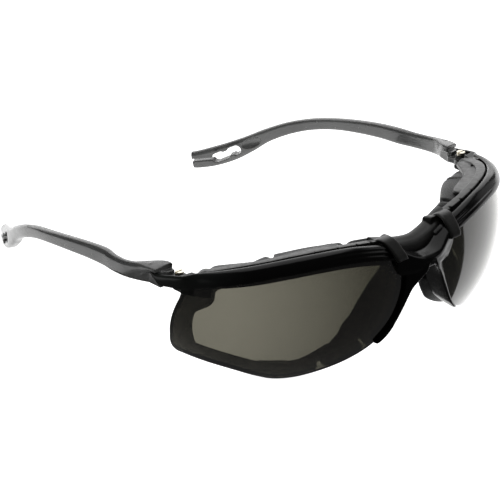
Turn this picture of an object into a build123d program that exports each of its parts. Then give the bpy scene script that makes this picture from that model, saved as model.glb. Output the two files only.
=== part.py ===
from build123d import *
from math import cos, hypot, radians, sin
import os

# Wraparound safety glasses with a foam gasket, in millimetres.
# +Z is up, the wearer looks along -Y, and +X is the wearer's left.
# Everything is drawn for the wearer's right side (negative X) and mirrored for the left,
# then the whole pair is moved so that the origin is under the middle of its bounding box.

# ---- driving dimensions ------------------------------------------------------------------

LENS_PLAN_R = 52.8          # outer lens radius seen from above
LENS_SIDE_R = 45.0          # outer lens radius seen from the side
LENS_TILT = 12.3            # lean of the lens axis towards the nose, degrees
LENS_AXIS = (-18.0, 45.8, 28.2)
LENS_WALL = 2.0
GROOVE = 1.2                # how far the lens edge stands into the frame
SEAT_GAP = 0.06             # clearance round the lens edge in its groove

CARRIER_FRONT = 3.0         # depth of the carrier behind the lens's outer face
CARRIER_BACK = 5.2
CARRIER_INSET = 0.8         # carrier edge inside the lens edge
NOSE_ROOM = 0.3             # space between the carrier and the frame's nose rim
FOAM_INSET = 0.7            # foam edge inside the carrier edge
GLUE_LINE = 0.02            # gap between carrier and foam

SLOT_LENGTH = 12.4          # cord slot in the temple tip
SLOT_WIDTH = 3.6
SLIT_WIDTH = 1.0            # slit that lets a cord into the slot

HINGE_X = -67.6             # hinge axis seen from above
HINGE_Y = 37.8
KNUCKLE_Z = 33.1            # underside of the temple's knuckle
KNUCKLE_H = 2.2
KNUCKLE_R = 2.2
EAR_GAP = 0.1               # slack between the knuckle and each frame ear
EAR_H = 1.3
PIN_R = 0.8
PIN_FIT = 0.04              # radial clearance of the screw in the knuckle
SCREW_HEAD_R = 1.45
SCREW_HEAD_H = 1.2
SCREW_SLOT = (0.5, 0.5)     # width and depth of the driver slot
STOP_GAP = 0.15             # gap between endpiece and open temple
FAR = 120.0                 # reach of the blocks that only cut

STANDING = (Align.CENTER, Align.CENTER, Align.MIN)      # a solid that stands on its place


# ---- helpers -----------------------------------------------------------------------------

def side_prism(points, near=-FAR, far=0.0):
    """Solid with a closed (y, z) outline, running along X."""
    outline = Polyline(*[(near, y, z) for y, z in points], close=True)
    return extrude(make_face(outline), amount=far - near, dir=(1, 0, 0))


def smooth_prism(curve_points, straight_points, near=-FAR / 2, far=FAR):
    """Solid running along Y: a spline through the first (x, z) list, closed by straight runs."""
    curve = Spline(*[(x, near, z) for x, z in curve_points])
    rest = Polyline(curve @ 1, *[(x, near, z) for x, z in straight_points], curve @ 0)
    return extrude(make_face([curve, rest]), amount=far - near, dir=(0, 1, 0))


SHELL_REACH = 62.0          # half angle of the curved wall seen from the side, degrees
SHELL_TURN = 200.0          # angle that the wall is turned through, seen from above
SHELL_START = 172.0


def shell(outer, inner):
    """Curved wall between two depths behind the lens's outer face."""
    shift = LENS_PLAN_R - LENS_SIDE_R
    arcs = []
    for radius in (LENS_SIDE_R - outer, LENS_SIDE_R - inner):
        side = shift + radius * cos(radians(SHELL_REACH))
        rise = radius * sin(radians(SHELL_REACH))
        arcs.append(ThreePointArc((side, 0, -rise), (shift + radius, 0, 0), (side, 0, rise)))
    ends = [Line(arcs[0] @ 0, arcs[1] @ 0), Line(arcs[0] @ 1, arcs[1] @ 1)]
    wall = revolve(make_face(arcs + ends), Axis.Z, SHELL_TURN)
    return Pos(*LENS_AXIS) * Rot(0, LENS_TILT, 0) * Rot(0, 0, SHELL_START) * wall


def lens_point(x, z, depth=0.0):
    """Point of the lens's surface, at a depth behind its outer face, at a given x and z."""
    dx = x - LENS_AXIS[0]
    dz = z - LENS_AXIS[2]
    lean = radians(LENS_TILT)
    across = dx * cos(lean) - dz * sin(lean)
    along = dx * sin(lean) + dz * cos(lean)
    side_r = LENS_SIDE_R - depth
    plan_r = LENS_PLAN_R - LENS_SIDE_R + (side_r ** 2 - along ** 2) ** 0.5
    return Vector(x, LENS_AXIS[1] - (plan_r ** 2 - across ** 2) ** 0.5, z)


def lens_normal(point):
    """Unit vector pointing into the lens, towards the wearer, at a surface point."""
    axis = Vector(sin(radians(LENS_TILT)), 0, cos(radians(LENS_TILT)))
    arm = point - Vector(*LENS_AXIS)
    along = arm.dot(axis)
    outward = (arm - axis * along).normalized()
    ring = Vector(*LENS_AXIS) + outward * (LENS_PLAN_R - LENS_SIDE_R)
    return (ring - point).normalized()


def loft_through(outlines):
    """Smooth solid through a list of closed outlines with matching corners."""
    faces = [make_face(Polyline(*outline, close=True)) for outline in outlines]
    return loft(faces)


def mirror_x(shape):
    return mirror(shape, Plane.YZ)


# ---- outlines seen from the front, right side --------------------------------------------

# Where the lens shows below the brow band, from the nose outwards.
BROW_LINE = [(-9.5, 37.0), (-14.0, 39.2), (-21.5, 41.3), (-31.0, 42.9), (-42.0, 42.9),
             (-50.0, 41.8), (-58.6, 39.4), (-64.4, 36.9), (-67.6, 34.9), (-69.2, 33.2)]
# Free edge of the lens, from the brow down the nose side, round the point and out.
LENS_EDGE = [(-8.3, 36.5), (-7.9, 31.0), (-9.6, 23.6), (-13.0, 16.8), (-18.6, 10.6), (-27.0, 6.1),
             (-36.0, 2.4), (-42.0, -0.1), (-46.5, -0.8), (-51.0, 0.6), (-57.6, 3.4), (-63.6, 5.4)]
# Back edge of the lens seen from the side, as (y, z).
LENS_BACK = [(33.0, 34.0), (36.2, 29.5), (39.6, 22.5), (41.6, 17.0), (43.2, 12.0), (45.0, 8.0),
             (45.2, 6.0), (44.0, 4.6)]
# Eye opening through the gasket.
WINDOW = [(-13.0, 33.5), (-17.0, 28.0), (-22.0, 21.0), (-26.5, 14.6), (-29.5, 10.8), (-35.0, 7.9),
          (-42.0, 6.2), (-50.0, 6.2), (-57.0, 7.6), (-61.4, 9.6), (-63.9, 14.6), (-65.0, 22.0),
          (-64.2, 29.0), (-61.5, 34.4), (-56.0, 38.0), (-46.0, 40.6), (-34.0, 41.6), (-24.0, 40.8),
          (-16.5, 38.0)]
# Top of the carrier's rail, just behind the brow.
RAIL_TOP = [(-9.0, 43.2), (-14.0, 44.8), (-21.0, 46.0), (-29.0, 47.0), (-37.0, 47.1),
            (-45.0, 46.2), (-52.0, 44.8), (-58.0, 43.0), (-63.0, 41.0), (-66.0, 38.6)]


EYE = (-36.0, 24.0)


def offset_outline(points, inset):
    """Move an open outline towards the eye by a fixed amount."""
    moved = []
    for x, z in points:
        reach = hypot(x - EYE[0], z - EYE[1])
        moved.append((x + (EYE[0] - x) * inset / reach, z + (EYE[1] - z) * inset / reach))
    return moved


# ---- lens --------------------------------------------------------------------------------

def lens_blank(grow):
    """Lens outline cut from the curved wall, larger all round by grow."""
    wall = shell(-grow, LENS_WALL + grow)
    edge = offset_outline(LENS_EDGE, -grow)
    wall &= smooth_prism(edge, [(-80.0, 5.4 - grow), (-80.0, 60.0), (-8.3 + grow, 60.0)])
    top = [(x, z + GROOVE + grow) for x, z in BROW_LINE]
    wall &= smooth_prism(top, [(-90.0, 33.2), (-90.0, -20.0), (20.0, -20.0), (20.0, 37.0)])
    back = [(y + grow, z) for y, z in LENS_BACK]
    return wall & side_prism([(-30.0, 60.0), (33.0, 60.0)] + back + [(30.0, -20.0), (-30.0, -20.0)])


# ---- frame -------------------------------------------------------------------------------

# Brow band profile: distance behind the lens face, and height above the brow line.
BAND = [(-0.8, -0.1), (-1.15, 0.8), (-1.1, 1.7), (-0.55, 2.05), (-0.7, 2.6), (-0.3, 3.6),
        (0.5, 4.5), (1.5, 4.9), (2.4, 4.8), (2.8, 4.1), (2.8, -1.6), (1.5, -1.6), (1.5, -0.1)]
# Endpiece profile, corner for corner the same: depth in mm, and height as a share of the whole.
ENDPIECE = [(0.5, 0.0), (0.1, 0.08), (0.0, 0.3), (0.0, 0.42), (0.05, 0.55), (0.2, 0.75),
            (0.5, 0.9), (0.8, 0.99), (1.2, 1.0), (1.6, 0.93), (1.6, 0.1), (1.4, 0.0), (0.9, 0.0)]
# Endpiece stations: outer x, y, bottom z, height.
ENDPIECE_PATH = [(-70.9, 33.5, 33.6, 4.9), (-71.9, 38.0, 33.1, 4.3), (-72.4, 42.0, 32.5, 3.9),
                 (-72.7, 46.6, 31.9, 3.7)]
# Seam between endpiece and open temple, seen from the side as (y, z).
SEAM = [(39.0, 30.7), (46.2, 35.7)]
TEMPLE_FRONT_Y = 43.6       # front face of the temple above the endpiece
BAND_HEIGHT = 4.9
ENDPIECE_BLENDS = [0.08, 0.35, 0.75]        # how far the last brow stations are endpiece already
ENDPIECE_SET_BACK = 1.0     # the endpiece profile is counted from this far outside the lens face


def band_section(point, ahead, behind, blend):
    """Brow profile at a point of the brow line, turning into the endpiece profile."""
    inward = lens_normal(point)
    travel = (ahead - behind).normalized()
    up = travel.cross(inward).normalized()
    if up.Z < 0:
        up = up * -1.0
    corners = []
    for (depth, rise), (end_depth, end_share) in zip(BAND, ENDPIECE):
        depth += (end_depth - ENDPIECE_SET_BACK - depth) * blend
        rise += (end_share * BAND_HEIGHT - rise) * blend
        corners.append(point + inward * depth + up * rise)
    return corners


def brow_band():
    """Brow band and endpiece wall of one side, up to the seam with the temple."""
    points = [lens_point(x, z) for x, z in BROW_LINE[:-1]]
    blends = [0.0] * (len(points) - len(ENDPIECE_BLENDS)) + ENDPIECE_BLENDS
    outlines = []
    for i, point in enumerate(points):
        ahead = points[min(i + 1, len(points) - 1)]
        behind = points[max(i - 1, 0)]
        outlines.append(band_section(point, ahead, behind, blends[i]))
    for x, y, low, height in ENDPIECE_PATH:
        outlines.append([(x + depth, y, low + share * height) for depth, share in ENDPIECE])
    behind_seam = side_prism(SEAM + [(90.0, 60.0), (90.0, 20.0)])
    return loft_through(outlines) - behind_seam


def bridge_bar():
    """Bar over the nose: (x, front y, top z, bottom z) stations."""
    stations = [(-10.5, -7.2, 40.6, 33.5), (-7.5, -8.2, 39.5, 33.2), (-4.0, -9.2, 38.3, 33.4),
                (0.0, -9.6, 37.9, 34.2)]
    stations += [(-x, y, top, low) for x, y, top, low in reversed(stations[:-1])]
    outlines = []
    for x, front, top, low in stations:
        outlines.append([(x, front - 0.4, low), (x, front - 0.9, top - 1.3), (x, front - 0.2, top - 0.2),
                         (x, front + 0.8, top), (x, front + 3.2, top), (x, front + 3.5, top - 0.6),
                         (x, front + 3.0, low)])
    return loft_through(outlines)


# Nose rim: height, then x and y of its front edge, then x and y of the flange's back edge.
NOSE_RIM = [(37.0, 1.4, -10.4, 4.0, -5.2), (33.5, 2.3, -10.6, 5.6, -2.8), (30.5, 4.6, -9.4, 7.0, -0.4),
            (27.5, 6.8, -8.1, 8.1, 1.5), (24.5, 8.4, -7.5, 9.5, 2.5), (21.0, 10.3, -7.0, 11.2, 2.6),
            (17.5, 12.3, -6.5, 13.2, 2.6), (14.0, 14.6, -6.0, 15.3, 2.0), (11.0, 17.2, -5.2, 17.9, 0.4)]
# Lens edge beside each of those stations, and how far the rim laps over it.
NOSE_EDGE = [(8.3, 0.2), (8.1, 0.3), (8.0, 0.6), (8.5, 0.8), (9.4, 0.9), (10.9, 0.9),
             (12.7, 0.9), (15.3, 0.9), (18.2, 0.8)]


def nose_rim(margin=0.0):
    """Rim along the lens's nose edge with the flange behind it, thicker by margin."""
    outlines = []
    for (z, x_front, y_front, x_back, y_back), (edge, lap) in zip(NOSE_RIM, NOSE_EDGE):
        side = edge + lap
        face = lens_point(-side, z).Y
        outlines.append([(-x_front, y_front, z), (-(x_front + edge) / 2 - 0.5, (y_front + face) / 2 - 0.9, z),
                         (-side, face - 1.0, z), (-side - margin, face + 2.85 + margin, z),
                         (-x_back - 1.4 - margin, y_back + margin, z), (-x_back, y_back + margin, z)])
    return loft_through(outlines)


EAR_LOW_Z = KNUCKLE_Z - EAR_GAP - EAR_H
EAR_HIGH_Z = KNUCKLE_Z + KNUCKLE_H + EAR_GAP
ROOT_H = 12.0               # root block, before its sloping top is cut
ROOT_FRONT_Y = 26.0         # where the slope reaches the brow
ROOT_BACK_Y = 33.5
ROOT_RISE = 4.2
ARM_FRONT_Y = 34.0          # where the ears leave the root block


def hinge_ears():
    """Two ears on one root block, on the inside of the endpiece wall."""
    root_outline = Polyline((-70.2, 34.9), (-69.2, 32.0), (-66.6, 28.0), (-64.0, 25.6), (-62.8, 27.4),
                            (-64.9, 31.0), (-65.6, 34.2), close=True)
    root = Pos(0, 0, EAR_LOW_Z) * extrude(make_face(root_outline), amount=ROOT_H)
    ear_top = EAR_HIGH_Z + EAR_H
    root -= side_prism([(36.0, ear_top), (ROOT_BACK_Y, ear_top), (ROOT_FRONT_Y, ear_top + ROOT_RISE),
                        (ROOT_FRONT_Y, FAR), (36.0, FAR)])
    ears = None
    for z in (EAR_LOW_Z, EAR_HIGH_Z):
        end = Pos(HINGE_X, HINGE_Y, z) * Cylinder(KNUCKLE_R, EAR_H, align=STANDING)
        arm = Pos(HINGE_X, HINGE_Y, z) * Box(2 * KNUCKLE_R, HINGE_Y - ARM_FRONT_Y, EAR_H,
                                             align=(Align.CENTER, Align.MAX, Align.MIN))
        ears = end + arm if ears is None else ears + end + arm
    bore = Pos(HINGE_X, HINGE_Y, EAR_LOW_Z) * Cylinder(PIN_R, ROOT_H, align=STANDING)
    return root + ears - bore


def frame_front():
    right = brow_band() + nose_rim() + hinge_ears()
    right -= lens_blank(SEAT_GAP)
    return right + mirror_x(right) + bridge_bar() - lens_blank(SEAT_GAP) - mirror_x(lens_blank(SEAT_GAP))


# ---- gasket ------------------------------------------------------------------------------

def gasket_block(outer, inner, inset, top):
    """Ring between two depths behind the lens, open at the eye."""
    block = shell(outer, inner)
    edge = offset_outline(LENS_EDGE, inset)
    block &= smooth_prism(edge, [(-80.0, 5.4 + inset), (-80.0, 60.0), (-8.0 - inset, 60.0)])
    block &= smooth_prism(top, [(-90.0, 38.0), (-90.0, -20.0), (20.0, -20.0), (20.0, 43.0)])
    back = [(y - inset, z) for y, z in LENS_BACK]
    block &= side_prism([(-30.0, 60.0), (31.0, 60.0)] + back + [(30.0, -20.0), (-30.0, -20.0)])
    eye = Spline(*[(x, -60.0, z) for x, z in WINDOW], periodic=True)
    return block - extrude(make_face(eye), amount=180.0, dir=(0, 1, 0))


HINGE_ROOM = (11.4, 15.0, 12.0)
HINGE_ROOM_MIDDLE = (-70.3, 36.0, 37.0)


def hinge_room():
    """Space kept free for the hinge and the endpiece."""
    return Pos(*HINGE_ROOM_MIDDLE) * Box(*HINGE_ROOM)


EAR_PLATE_H = 1.6           # plate at the gasket's temple end
EAR_PLATE_TOP = 39.2        # its top at EAR_PLATE_X, leaning down towards the temple
EAR_PLATE_X = -57.0
EAR_PLATE_LEAN = 9.0        # degrees


def carrier_ear():
    """Plate that closes the gasket's top at the temple end."""
    outline = Polyline((-59.0, 33.0), (-54.5, 27.4), (-50.5, 20.5), (-54.5, 18.5), (-59.5, 23.5),
                       (-63.4, 30.5), (-62.0, 33.2), close=True)
    plate = extrude(make_face(outline), amount=EAR_PLATE_H)
    plate = Rot(0, -EAR_PLATE_LEAN, 0) * Pos(-EAR_PLATE_X, 0, -EAR_PLATE_H) * plate
    return Pos(EAR_PLATE_X, 0, EAR_PLATE_TOP) * plate & shell(CARRIER_FRONT, 40.0)


def carrier_half():
    ring = gasket_block(CARRIER_FRONT, CARRIER_BACK, CARRIER_INSET, RAIL_TOP)
    ring -= nose_rim(NOSE_ROOM)
    return ring + carrier_ear() - hinge_room()


def carrier_bridge():
    """Saddle that joins the two eye rings over the nose."""
    stations = [(-13.0, -1.9, 43.4), (-9.0, -2.4, 42.8), (-5.0, -3.4, 41.6), (0.0, -4.0, 41.0)]
    stations += [(-x, y, z) for x, y, z in reversed(stations[:-1])]
    outlines = []
    for x, front, top in stations:
        profile = [(0.0, -3.2), (0.1, -2.0), (2.0, 0.0), (4.6, 0.8), (5.6, -0.2), (2.2, -3.4)]
        outlines.append([(x, front + back, top + rise) for back, rise in profile])
    return loft_through(outlines)


def carrier_hook():
    """Strap over the brow that holds the carrier on the frame."""
    inner_x, outer_x = -11.2, -16.2
    path = [(1.5, 43.0), (-0.5, 45.6), (-3.6, 45.7), (-8.2, 42.0), (-8.8, 39.4), (-7.7, 39.3),
            (-7.4, 41.4), (-3.4, 44.4), (-1.4, 44.0), (-1.6, 42.6)]
    return side_prism(path, outer_x, inner_x)


def gasket_carrier(frame):
    half = carrier_half() + carrier_hook()
    whole = half + mirror_x(half) + carrier_bridge() - frame
    return max(whole.solids(), key=lambda piece: piece.volume)


FACE_R = 71.8               # the face that the foam rests on, seen from above
FACE_CENTRE = (8.5, 74.1)
FACE_LEAN = 11.3            # degrees
FACE_Z = 41.0               # height at which FACE_CENTRE holds
FOAM_TOP = [(-9.5, 42.6), (-15.0, 43.6), (-22.0, 44.0), (-30.0, 43.2), (-38.0, 41.4),
            (-46.0, 39.2), (-54.0, 37.0), (-60.0, 35.0), (-64.0, 33.0)]


def face_solid():
    """Head that the foam seals against: a leaning cylinder, relieved beside the nose."""
    head = Pos(FACE_CENTRE[0], FACE_CENTRE[1], FACE_Z) * Rot(FACE_LEAN, 0, 0) * Cylinder(FACE_R, 2 * FAR)
    beside_nose = side_prism([(200.0, 80.0), (-7.0, 80.0), (13.0, 0.0), (13.0, -20.0), (200.0, -20.0)],
                             -FAR, FAR)
    return head & beside_nose


# Nose side of the foam, which flares past the lens behind the nose flange.
FOAM_NOSE = [(-8.6, 40.0), (-8.2, 30.0), (-8.4, 23.0), (-9.8, 18.0), (-12.0, 14.2), (-14.4, 11.2),
             (-18.0, 8.6), (-22.0, 6.4), (-27.5, 5.4)]
FLANGE_END_Y = 3.3


def foam_pad(carrier):
    pad = shell(CARRIER_BACK + GLUE_LINE, 34.0)
    edge = FOAM_NOSE[:-1] + offset_outline(LENS_EDGE[5:], CARRIER_INSET + FOAM_INSET)
    pad &= smooth_prism(edge, [(-80.0, 6.9), (-80.0, 60.0), (-8.6, 60.0)])
    pad &= smooth_prism(FOAM_TOP, [(-90.0, 38.0), (-90.0, -20.0), (20.0, -20.0), (20.0, 43.0)])
    back = [(y - 2.0, z) for y, z in LENS_BACK[1:]]
    pad &= side_prism([(-30.0, 60.0), (40.0, 60.0), (38.0, 32.0)] + back + [(30.0, -20.0),
                                                                             (-30.0, -20.0)])
    eye = Spline(*[(x, -60.0, z) for x, z in WINDOW], periodic=True)
    pad -= extrude(make_face(eye), amount=180.0, dir=(0, 1, 0))
    pad -= face_solid()
    flange = [(-x_back - 1.9, z) for z, _, _, x_back, _ in NOSE_RIM]
    pad -= smooth_prism(flange, [(-18.5, -20.0), (20.0, -20.0), (20.0, 60.0), (-5.9, 60.0)],
                        -FAR / 2, FLANGE_END_Y)
    pad -= hinge_room()
    pad -= carrier
    return max(pad.solids(), key=lambda piece: piece.volume)


# ---- temples -----------------------------------------------------------------------------

# Blade stations behind the hinge: centre x, y, bottom z, top z, wall thickness.
BLADE = [(-70.4, 47.2, 31.7, 38.3, 4.2), (-71.7, 52.0, 31.1, 37.2, 3.4), (-72.3, 58.0, 30.4, 36.0, 2.9),
         (-71.8, 64.0, 30.0, 35.5, 3.1), (-70.8, 70.0, 29.8, 35.5, 3.7), (-70.5, 78.0, 29.3, 34.6, 3.6),
         (-69.9, 88.0, 28.1, 32.9, 3.5), (-68.6, 99.0, 26.3, 30.6, 3.5), (-66.3, 109.0, 23.6, 28.0, 3.5),
         (-63.6, 118.0, 19.7, 24.6, 3.6), (-60.3, 126.0, 14.8, 20.5, 3.8), (-57.4, 132.0, 9.6, 16.8, 4.0),
         (-54.1, 138.0, 5.2, 13.2, 4.0), (-50.5, 144.0, 2.2, 10.0, 3.9), (-47.4, 149.0, 0.7, 7.6, 3.6),
         (-46.0, 151.2, 0.4, 6.8, 3.3)]


def temple_blade():
    centres = [Vector(x, y, (low + top) / 2) for x, y, low, top, _ in BLADE]
    sections = []
    for i, (x, y, low, top, wall) in enumerate(BLADE):
        travel = (centres[min(i + 1, len(centres) - 1)] - centres[max(i - 1, 0)]).normalized()
        across = travel.cross(Vector(0, 0, 1)).normalized()
        height = (top - low) * hypot(travel.X, travel.Y)
        plane = Plane(origin=centres[i], x_dir=across, z_dir=travel)
        sections.append(plane * RectangleRounded(wall, height, min(wall, height) * TEMPLE_CORNER))
    return loft(sections)


TEMPLE_CORNER = 0.36        # corner radius of the blade, as a share of its thinner side
ROOT_END_Y = 48.0           # where the root block ends inside the blade
CAP_Z = (36.3, 38.4)        # cap above the endpiece
INNER_Z = (32.2, 38.2)      # block on the inside of the endpiece wall
SKIN_Z = (31.9, 36.3)       # outer skin that meets the endpiece at the seam


def upright(outline, heights):
    low, high = heights
    return Pos(0, 0, low) * extrude(make_face(outline), amount=high - low)


def temple_root():
    """Block in front of the blade, with the knuckle that turns on the screw."""
    cap_outline = Polyline((-72.5, ROOT_END_Y), (-72.4, TEMPLE_FRONT_Y), (-66.4, TEMPLE_FRONT_Y - 1.0),
                           (-65.7, 43.6), (-67.9, ROOT_END_Y), close=True)
    inner_outline = Polyline((-70.2, ROOT_END_Y), (-70.2, 42.4), (-69.2, 41.0), (-66.4, 41.0), (-65.7, 42.6),
                             (-67.9, ROOT_END_Y), close=True)
    skin_outline = Polyline((-72.6, ROOT_END_Y), (-72.4, 40.0), (-70.2, 40.0), (-70.2, ROOT_END_Y),
                            close=True)
    cap = upright(cap_outline, CAP_Z)
    inner = upright(inner_outline, INNER_Z)
    skin = upright(skin_outline, SKIN_Z)
    (low_y, low_z), (top_y, top_z) = SEAM
    skin &= side_prism([(low_y + STOP_GAP, low_z), (top_y + STOP_GAP, top_z), (top_y + STOP_GAP, FAR),
                        (FAR, FAR), (FAR, low_z)])
    knuckle = Pos(HINGE_X, HINGE_Y, KNUCKLE_Z) * Cylinder(KNUCKLE_R, KNUCKLE_H, align=STANDING)
    web_box = Box(3.4, 2 * KNUCKLE_R, KNUCKLE_H, align=STANDING)
    web = Pos(HINGE_X, HINGE_Y + KNUCKLE_R, KNUCKLE_Z) * web_box
    bore = Pos(HINGE_X, HINGE_Y, KNUCKLE_Z - 1.0) * Cylinder(PIN_R + PIN_FIT, KNUCKLE_H + 2.0, align=STANDING)
    return cap + inner + skin + knuckle + web - bore


SLOT_FRONT = Vector(-55.6, 135.3, 11.5)
SLOT_BACK = Vector(-50.0, 144.5, 5.5)
SLOT_DROP = 0.4             # slot's middle below the line between those ends
SLIT_LEAN = 17.0            # degrees


def tip_frame(along):
    """Plane of the temple tip, at a distance behind the slot's middle."""
    travel = (SLOT_BACK - SLOT_FRONT).normalized()
    across = travel.cross(Vector(0, 0, 1)).normalized()
    middle = (SLOT_FRONT + SLOT_BACK) / 2 - across.cross(travel) * SLOT_DROP
    return Plane(origin=middle + travel * along, x_dir=travel, z_dir=across)


def cord_slot():
    slot = tip_frame(0.0) * SlotOverall(SLOT_LENGTH, SLOT_WIDTH)
    slit = tip_frame(5.0) * Rot(0, 0, SLIT_LEAN) * Pos(6.0, 0, 0) * Rectangle(14.0, SLIT_WIDTH)
    return extrude(slot, amount=6, both=True) + extrude(slit, amount=6, both=True)


def temple():
    return temple_blade() + temple_root() - cord_slot()


def hinge_screw():
    bottom = EAR_LOW_Z
    top = EAR_HIGH_Z + EAR_H
    shaft = Pos(HINGE_X, HINGE_Y, bottom) * Cylinder(PIN_R, top - bottom, align=STANDING)
    head = Pos(HINGE_X, HINGE_Y, top) * Cylinder(SCREW_HEAD_R, SCREW_HEAD_H, align=STANDING)
    slot_width, slot_depth = SCREW_SLOT
    slot_box = Box(4 * SCREW_HEAD_R, slot_width, SCREW_HEAD_H, align=STANDING)
    return shaft + head - Pos(HINGE_X, HINGE_Y, top + SCREW_HEAD_H - slot_depth) * slot_box


# ---- assembly ----------------------------------------------------------------------------

def build():
    frame = frame_front()
    carrier = gasket_carrier(frame)
    right = {"lens": lens_blank(0.0), "gasket_foam": foam_pad(carrier), "temple": temple(),
             "hinge_screw": hinge_screw()}
    parts = {"frame_front": frame, "gasket_carrier": carrier}
    for name, shape in right.items():
        parts[name + "_right"] = shape
        parts[name + "_left"] = mirror_x(shape)
    return parts


def main():
    parts = build()
    box = Compound(children=[Part(shape.wrapped) for shape in parts.values()]).bounding_box()
    shift = (0.0, -(box.min.Y + box.max.Y) / 2, -box.min.Z)
    os.makedirs("parts", exist_ok=True)
    for name, shape in parts.items():
        export_step(Pos(*shift) * shape, f"parts/{name}.step")
        print(name, shape.is_valid, len(shape.solids()), round(shape.volume, 1), shape.bounding_box())
    print("shift", shift, "size", box.size)


main()
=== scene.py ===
"""Looks of the safety glasses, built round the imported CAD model.

Shapes are drawn in millimetres for the wearer's right side, in the drawing's own place,
and mirrored for the left; to_frame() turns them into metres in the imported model's frame.
"""
from math import acos, asin, atan2, cos, exp, hypot, pi, radians, sin

import bmesh
import bpy
from mathutils import Matrix, Vector


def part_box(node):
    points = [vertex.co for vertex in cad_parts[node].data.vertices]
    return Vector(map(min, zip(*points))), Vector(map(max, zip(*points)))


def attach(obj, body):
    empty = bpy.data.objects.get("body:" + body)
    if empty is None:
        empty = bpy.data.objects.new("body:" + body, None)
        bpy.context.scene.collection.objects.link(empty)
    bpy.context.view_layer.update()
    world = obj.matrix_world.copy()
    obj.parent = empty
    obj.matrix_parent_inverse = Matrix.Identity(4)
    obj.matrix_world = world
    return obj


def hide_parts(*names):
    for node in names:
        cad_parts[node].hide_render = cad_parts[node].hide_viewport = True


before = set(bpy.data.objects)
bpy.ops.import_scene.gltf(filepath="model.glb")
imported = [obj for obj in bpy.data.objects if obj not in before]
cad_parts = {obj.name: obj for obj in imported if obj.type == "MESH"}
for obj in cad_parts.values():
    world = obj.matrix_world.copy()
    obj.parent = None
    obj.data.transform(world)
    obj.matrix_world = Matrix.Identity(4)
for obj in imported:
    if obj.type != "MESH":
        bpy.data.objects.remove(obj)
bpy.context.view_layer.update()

# ---- driving dimensions, in drawing millimetres --------------------------------------------

MM = 0.001
HINGE = Vector((-67.6, 37.8, 34.8))      # middle of the right hinge screw in the drawing
PLAN_R = 52.8                            # outer lens radius seen from above
SIDE_R = 45.0                            # outer lens radius seen from the side
LENS_TILT = radians(12.3)                # lean of the lens axis towards the nose
LENS_AXIS = Vector((-18.0, 45.8, 28.2))
LENS_WALL = 2.0
CARRIER_FRONT = 3.0                      # depths behind the lens's outer face
CARRIER_BACK = 5.2
EYE_AZIMUTH = 0.44                       # middle of the eye opening on the lens, radians
EYE_ELEVATION = -0.12
STATIONS = 420                           # steps round the lens edge and the gasket rings
SCREW_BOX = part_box("hinge_screw_right")
OFFSET = (SCREW_BOX[0] + SCREW_BOX[1]) / 2 - HINGE * MM


def to_frame(point):
    return OFFSET + Vector(point) * MM


# ---- curves --------------------------------------------------------------------------------

def between(a, b, c, d, t):
    """Catmull-Rom point between b and c."""
    bend = 2 * a - 5 * b + 4 * c - d
    return 0.5 * (2 * b + (c - a) * t + bend * t * t + (3 * b - a - 3 * c + d) * t ** 3)


def smooth_line(points, steps, closed=False):
    """Smooth line through the points, with the same number of steps in each span."""
    points = [Vector(p) for p in points]
    count = len(points)
    spans = count if closed else count - 1
    line = []
    for i in range(spans):
        if closed:
            four = [points[(i + k) % count] for k in (-1, 0, 1, 2)]
        else:
            four = [points[min(max(i + k, 0), count - 1)] for k in (-1, 0, 1, 2)]
        line += [between(*four, step / steps) for step in range(steps)]
    if not closed:
        line.append(points[-1])
    return line


def even_loop(points, count):
    """Smooth closed line through the points, cut into equal lengths."""
    line = smooth_line(points, 24, closed=True)
    line.append(line[0])
    reach = [0.0]
    for a, b in zip(line, line[1:]):
        reach.append(reach[-1] + (b - a).length)
    out = []
    k = 0
    for i in range(count):
        goal = reach[-1] * i / count
        while k < len(line) - 2 and reach[k + 1] < goal:
            k += 1
        share = (goal - reach[k]) / max(reach[k + 1] - reach[k], 1e-9)
        out.append(line[k].lerp(line[k + 1], share))
    return out


def smooth_rings(rings, steps):
    """More rings between the given ones, corner by corner."""
    columns = [smooth_line([ring[j] for ring in rings], steps) for j in range(len(rings[0]))]
    return [[column[i] for column in columns] for i in range(len(columns[0]))]


def travel_at(points, i):
    """Step from the point before to the point after."""
    return points[min(i + 1, len(points) - 1)] - points[max(i - 1, 0)]


def both_sides(stations):
    """Stations from the right side to the middle, carried on to the left side."""
    return stations + [(-station[0], *station[1:]) for station in reversed(stations[:-1])]


# ---- meshes --------------------------------------------------------------------------------

def add_object(name, data):
    item = bpy.data.objects.new(name, data)
    bpy.context.scene.collection.objects.link(item)
    return item


def shade_smooth(mesh):
    for polygon in mesh.polygons:
        polygon.use_smooth = True


def new_mesh(name, verts, faces):
    """Clean mesh object from corners in drawing millimetres."""
    mesh = bpy.data.meshes.new(name)
    mesh.from_pydata([to_frame(v) for v in verts], [], faces)
    bm = bmesh.new()
    bm.from_mesh(mesh)
    bmesh.ops.remove_doubles(bm, verts=bm.verts, dist=1e-7)
    bmesh.ops.recalc_face_normals(bm, faces=bm.faces)
    bm.to_mesh(mesh)
    bm.free()
    shade_smooth(mesh)
    return add_object(name, mesh)


def loft(name, rings, closed=False):
    """Skin over rings with the same number of points; an open loft gets end faces."""
    size = len(rings[0])
    verts = [v for ring in rings for v in ring]
    faces = []
    count = len(rings)
    for i in range(count if closed else count - 1):
        for j in range(size):
            k = (j + 1) % size
            n = (i + 1) % count
            faces.append((i * size + j, i * size + k, n * size + k, n * size + j))
    if not closed:
        faces.append(tuple(reversed(range(size))))
        faces.append(tuple((count - 1) * size + j for j in range(size)))
    return new_mesh(name, verts, faces)


def smooth_loft(name, rings, steps, ring_steps=2):
    """Loft that is smoothed from station to station and round each ring."""
    return loft(name, [smooth_line(ring, ring_steps, closed=True) for ring in smooth_rings(rings, steps)])


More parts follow.
